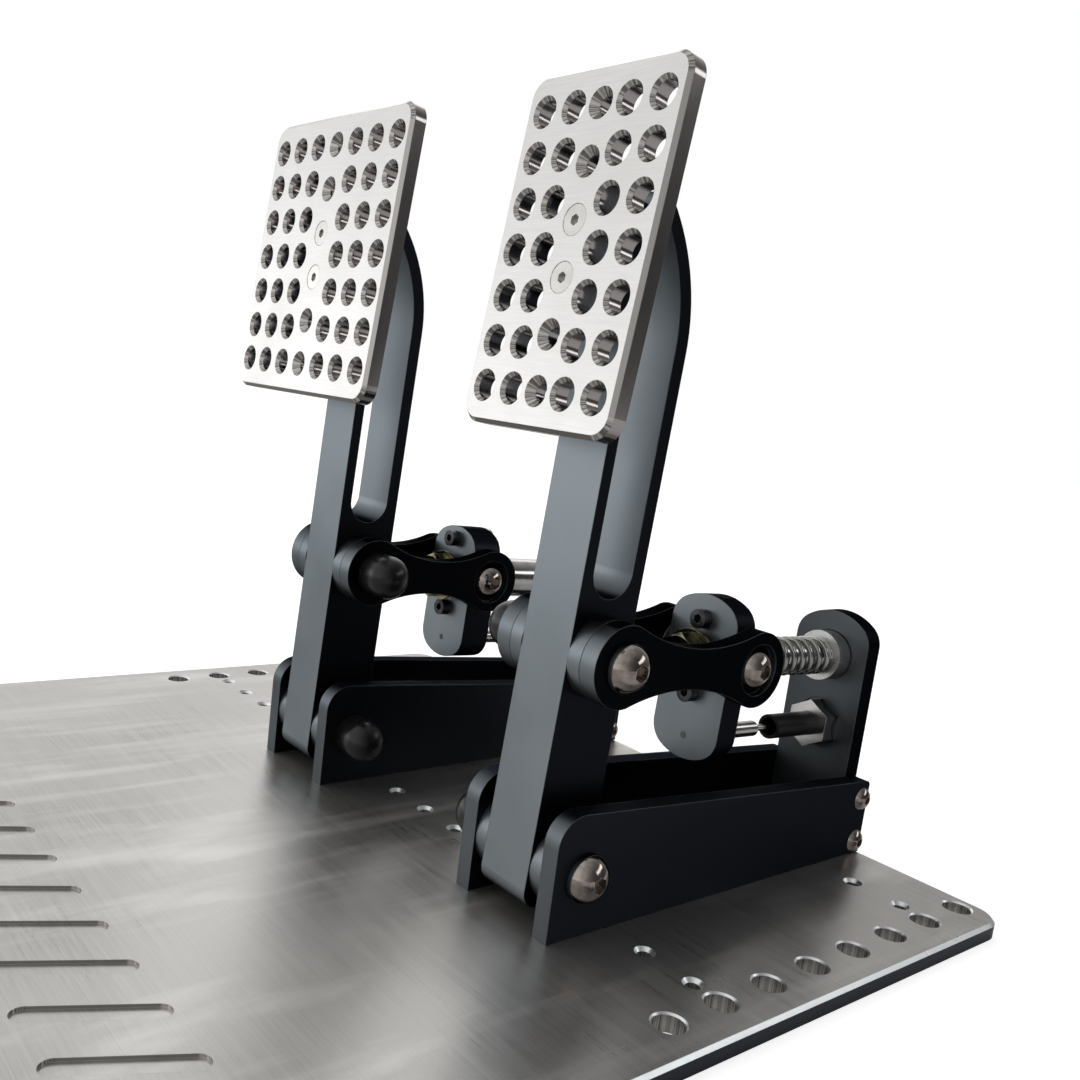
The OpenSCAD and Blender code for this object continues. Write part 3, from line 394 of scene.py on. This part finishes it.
def slot_finishes():
    """Materials by the record's slots."""
    return {
        "base_steel": brushed_plate(),
        "black_anodised": black_anodised("part_black", painted_sheen=1.6),
        "face_alloy": satin_face(),
        "fastener_steel": polished(
            "polished_fastener", (0.30, 0.257, 0.235), (0.47, 0.42, 0.39), rough=(0.08, 0.16),
        ),
        "rod_steel": polished(
            "ground_rod", (0.46, 0.45, 0.44), (0.64, 0.63, 0.62), rough=(0.12, 0.2),
        ),
        "spring_steel": polished(
            "drawn_wire", (0.30, 0.30, 0.285), (0.50, 0.50, 0.48), rough=(0.16, 0.26), edge=0,
        ),
        # Collar front is bright metal raised to near white, partly as a painted highlight; its sides
        # take painted shade.
        "bright_collar": polished(
            "turned_collar", (0.84, 0.84, 0.84), (0.96, 0.96, 0.96), rough=(0.25, 0.35),
            side=(0.42, 0.41, 0.41),
        ),
        "bush_bronze": polished(
            "oiled_bronze", (0.48, 0.33, 0.15), (0.62, 0.45, 0.22), rough=(0.3, 0.42),
        ),
        "black_nylon": moulded(
            "black_nylon", (0.006, 0.006, 0.007), (0.011, 0.011, 0.012), rough=(0.24, 0.32),
            depth=0.006 * MM, gloss=0.42,
        ),
        "pad_rubber": moulded(
            "cast_pad", (0.016, 0.016, 0.017), (0.028, 0.027, 0.026), rough=(0.45, 0.6),
            depth=0.02 * MM,
        ),
    }


def node_finishes():
    """Materials by node, or by the end of a node's name, where a piece has its own finish or its own
    level of painted light and shade.
    """
    # The black parts share one anodising; their painted sheen and painted side levels differ from
    # part to part as painted light and shade.
    frame_black = black_anodised("frame_black", painted_sheen=1.05, painted_side_level=1.7)
    link_black = black_anodised("link_black", painted_sheen=1.4, painted_side_level=0.45)
    of_each_unit = {
        "_left_side_plate": frame_black,
        "_right_side_plate": frame_black,
        "_upright": black_anodised("upright_black", painted_sheen=1.1, painted_side_level=0.7),
        "_left_link": link_black,
        "_right_link": link_black,
        "_arm": black_anodised("arm_black", painted_sheen=1.75),
        "_carrier_plate": black_anodised("carrier_black", painted_sheen=1.8),
        "_carrier_screws": polished(
            "blackened_screw", (0.030, 0.030, 0.032), (0.16, 0.16, 0.17), rough=(0.2, 0.3),
        ),
        "_face_screws": polished(
            "face_screw", (0.57, 0.56, 0.54), (0.68, 0.67, 0.65), rough=(0.22, 0.32),
        ),
        "_rod_nut": polished(
            "yellow_passivated_nut", (0.22, 0.20, 0.12), (0.60, 0.56, 0.40), rough=(0.12, 0.2),
        ),
        "_sensor_body": moulded(
            "sensor_black", (0.005, 0.005, 0.006), (0.009, 0.009, 0.010), rough=(0.35, 0.45),
            depth=0.004 * MM, gloss=0.2,
        ),
        "_sensor_plunger": plunger(),
    }
    chosen = {unit + end: finish for unit in units for end, finish in of_each_unit.items()}
    # Nut front is bright nickel raised to near white, partly as a painted highlight; its sides take
    # painted shade.
    chosen["sensor_nuts"] = polished(
        "nickel_nut", (0.90, 0.90, 0.89), (0.98, 0.98, 0.97), rough=(0.2, 0.28),
        side=(0.30, 0.29, 0.29),
    )
    return chosen


def dress_nodes(by_slot, by_node):
    """Gives every carried-over node its finish."""
    for part in record["subparts"]:
        surface = by_node.get(part["node"], by_slot[part["material_slot"]])
        for slot in nodes[part["node"]].material_slots:
            slot.material = surface


def joint_axis(name):
    """The direction of one of the record's joints."""
    for joint in record["behaviour"]["joints"]:
        if joint["name"] == name:
            return Vector(joint["axis"]).normalized()
    raise ValueError(name)


def rod_tip(unit):
    """The front end of a guide rod's axis, and the direction in which it runs back."""
    axis = joint_axis(unit + "_carriage_slide")
    low, high = (Vector(corner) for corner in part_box(unit + "_guide_rod"))
    length = (high.y - low.y - 2 * rod_end_r * abs(axis.z)) / axis.y
    return (low + high) / 2 - axis * length / 2, axis


def placed_mesh(name, mesh, material, body, node):
    """Makes a smooth object of a mesh, hangs it on its body's empty and hides the node it replaces.
    """
    bmesh.ops.recalc_face_normals(mesh, faces=mesh.faces)
    data = bpy.data.meshes.new(name)
    mesh.to_mesh(data)
    mesh.free()
    for polygon in data.polygons:
        polygon.use_smooth = True
    data.materials.append(material)
    piece = bpy.data.objects.new(name, data)
    bpy.context.scene.collection.objects.link(piece)
    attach(piece, body)
    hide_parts(node)
    return piece


def spring(material):
    """One wire: a circle swept round the rod, close wound at both ends."""
    tip, axis = rod_tip("throttle")
    start = tip + axis * spring_behind_tip
    radius = (spring_od - spring_wire) / 2
    seat = spring_wire / 2
    open_rise = spring_len - 2 * seat - 2 * spring_end_turns * spring_end_pitch
    mesh = bmesh.new()
    out = Vector((1, 0, 0))
    ring_axes = Matrix((out, axis, out.cross(axis))).transposed().to_4x4()
    centre = start + axis * seat + out * radius
    ring = bmesh.ops.create_circle(
        mesh, cap_ends=True, radius=spring_wire / 2, segments=wire_sides,
        matrix=Matrix.Translation(centre) @ ring_axes,
    )
    end = {face for vert in ring["verts"] for face in vert.link_faces}
    last = list(end) + [edge for face in end for edge in face.edges] + ring["verts"]
    closed = (spring_end_turns, spring_end_turns * spring_end_pitch)
    for turns, rise in (closed, (spring_turns, open_rise), closed):
        steps = turns * wire_steps_per_turn
        swept = bmesh.ops.spin(
            mesh, geom=last, cent=start, axis=axis, dvec=axis * rise / steps,
            angle=2 * math.pi * turns, steps=steps, use_merge=False, use_duplicate=False,
        )
        last = swept["geom_last"]
    return placed_mesh(
        "throttle_coil_spring", mesh, material, "base", "throttle_spring",
    )


def pad(material):
    """Cast pad with rounded waists, spun round the rod."""
    tip, axis = rod_tip("brake")
    start = tip + axis * pad_behind_tip
    side = axis.cross(Vector((1, 0, 0))).normalized()
    rim = pad_od / 2
    profile = [(0, pad_bore / 2), (0, rim - pad_lip), (pad_lip / 3, rim - pad_lip / 3)]
    for i in range(1, pad_rows):
        wave = -math.cos(2 * math.pi * pad_waists * i / pad_rows)
        dip = max(0.0, wave) ** pad_waist_power
        profile.append((pad_len * i / pad_rows, rim - pad_waist_depth * dip))
    profile += [
        (pad_len - pad_lip / 3, rim - pad_lip / 3),
        (pad_len, rim - pad_lip),
        (pad_len, pad_bore / 2),
    ]
    mesh = bmesh.new()
    verts = [mesh.verts.new(start + axis * y + side * r) for y, r in profile]
    edges = [mesh.edges.new(pair) for pair in zip(verts, verts[1:] + verts[:1])]
    bmesh.ops.spin(
        mesh, geom=verts + edges, cent=start, axis=axis, dvec=(0, 0, 0),
        angle=2 * math.pi, steps=pad_spin_steps, use_merge=True, use_duplicate=False,
    )
    bmesh.ops.remove_doubles(mesh, verts=mesh.verts, dist=weld_distance)
    return placed_mesh("brake_cast_pad", mesh, material, "base", "brake_load_pad")


def squash_along(piece):
    """Gives a piece its own copy of its mesh."""
    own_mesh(piece)


def floor():
    """A pale floor that the camera sees as nearly white."""
    mesh = bmesh.new()
    bmesh.ops.create_grid(mesh, x_segments=1, y_segments=1, size=floor_half_width)
    data = bpy.data.meshes.new("floor")
    mesh.to_mesh(data)
    mesh.free()
    ground = bpy.data.objects.new("floor", data)
    ground.location.z = -floor_drop
    tree = Tree("pale_floor")
    shader = tree.shader
    shader.inputs["Base Color"].default_value = (floor_grey, floor_grey, floor_grey, 1)
    shader.inputs["Roughness"].default_value = floor_roughness
    shader.inputs["Specular IOR Level"].default_value = floor_specular
    seen = tree.add("ShaderNodeLightPath")
    shader.inputs["Emission Color"].default_value = (1, 1, 1, 1)
    glow = tree.math("MULTIPLY", seen.outputs["Is Camera Ray"], floor_glow)
    tree.join(glow, shader.inputs["Emission Strength"])
    data.materials.append(tree.material)
    bpy.context.scene.collection.objects.link(ground)


def soft_box(name, place, target, size, power):
    """A rectangular lamp that faces its target."""
    data = bpy.data.lights.new(name, "AREA")
    data.shape = "RECTANGLE"
    data.size, data.size_y = size
    data.energy = power
    lamp = bpy.data.objects.new(name, data)
    lamp.location = place
    lamp.rotation_euler = (Vector(target) - Vector(place)).to_track_quat("-Z", "Y").to_euler()
    bpy.context.scene.collection.objects.link(lamp)


def studio():
    """White to the camera; to the object, a room that is bright at the front left and dim behind."""
    world = bpy.data.worlds.new("studio")
    bpy.context.scene.world = world
    world.use_nodes = True
    tree = world.node_tree
    add = tree.nodes.new
    join = tree.links.new
    room = tree.nodes["Background"]
    direction = add("ShaderNodeTexCoord").outputs["Generated"]

    def lobe(towards, cosines, levels):
        product = add("ShaderNodeVectorMath")
        product.operation = "DOT_PRODUCT"
        join(direction, product.inputs[0])
        product.inputs[1].default_value = Vector(towards).normalized()
        level = add("ShaderNodeMapRange")
        level.interpolation_type = "SMOOTHSTEP"
        level.inputs["From Min"].default_value, level.inputs["From Max"].default_value = cosines
        level.inputs["To Min"].default_value, level.inputs["To Max"].default_value = levels
        join(product.outputs["Value"], level.inputs["Value"])
        return level.outputs["Result"]

    level = add("ShaderNodeMath")
    level.operation = "MULTIPLY"
    join(lobe(*room_side), level.inputs[0])
    join(lobe(*room_height), level.inputs[1])
    join(level.outputs[0], room.inputs["Strength"])
    room.inputs["Color"].default_value = (*room_colour, 1)
    white = add("ShaderNodeBackground")
    white.inputs["Color"].default_value = (1, 1, 1, 1)
    white.inputs["Strength"].default_value = 1
    seen = add("ShaderNodeLightPath")
    choice = add("ShaderNodeMixShader")
    join(seen.outputs["Is Camera Ray"], choice.inputs["Fac"])
    join(room.outputs["Background"], choice.inputs[1])
    join(white.outputs["Background"], choice.inputs[2])
    join(choice.outputs["Shader"], tree.nodes["World Output"].inputs["Surface"])
    for name, (place, target, size, power) in lamps.items():
        soft_box(name, place, target, size, power)


scene = bpy.context.scene
scene.view_settings.view_transform = "Standard"
camera()
studio()
floor()
materials = slot_finishes()
dress_nodes(materials, node_finishes())
coil = spring(materials["spring_steel"])
squash_along(coil)
cushion = pad(materials["pad_rubber"])
squash_along(cushion)
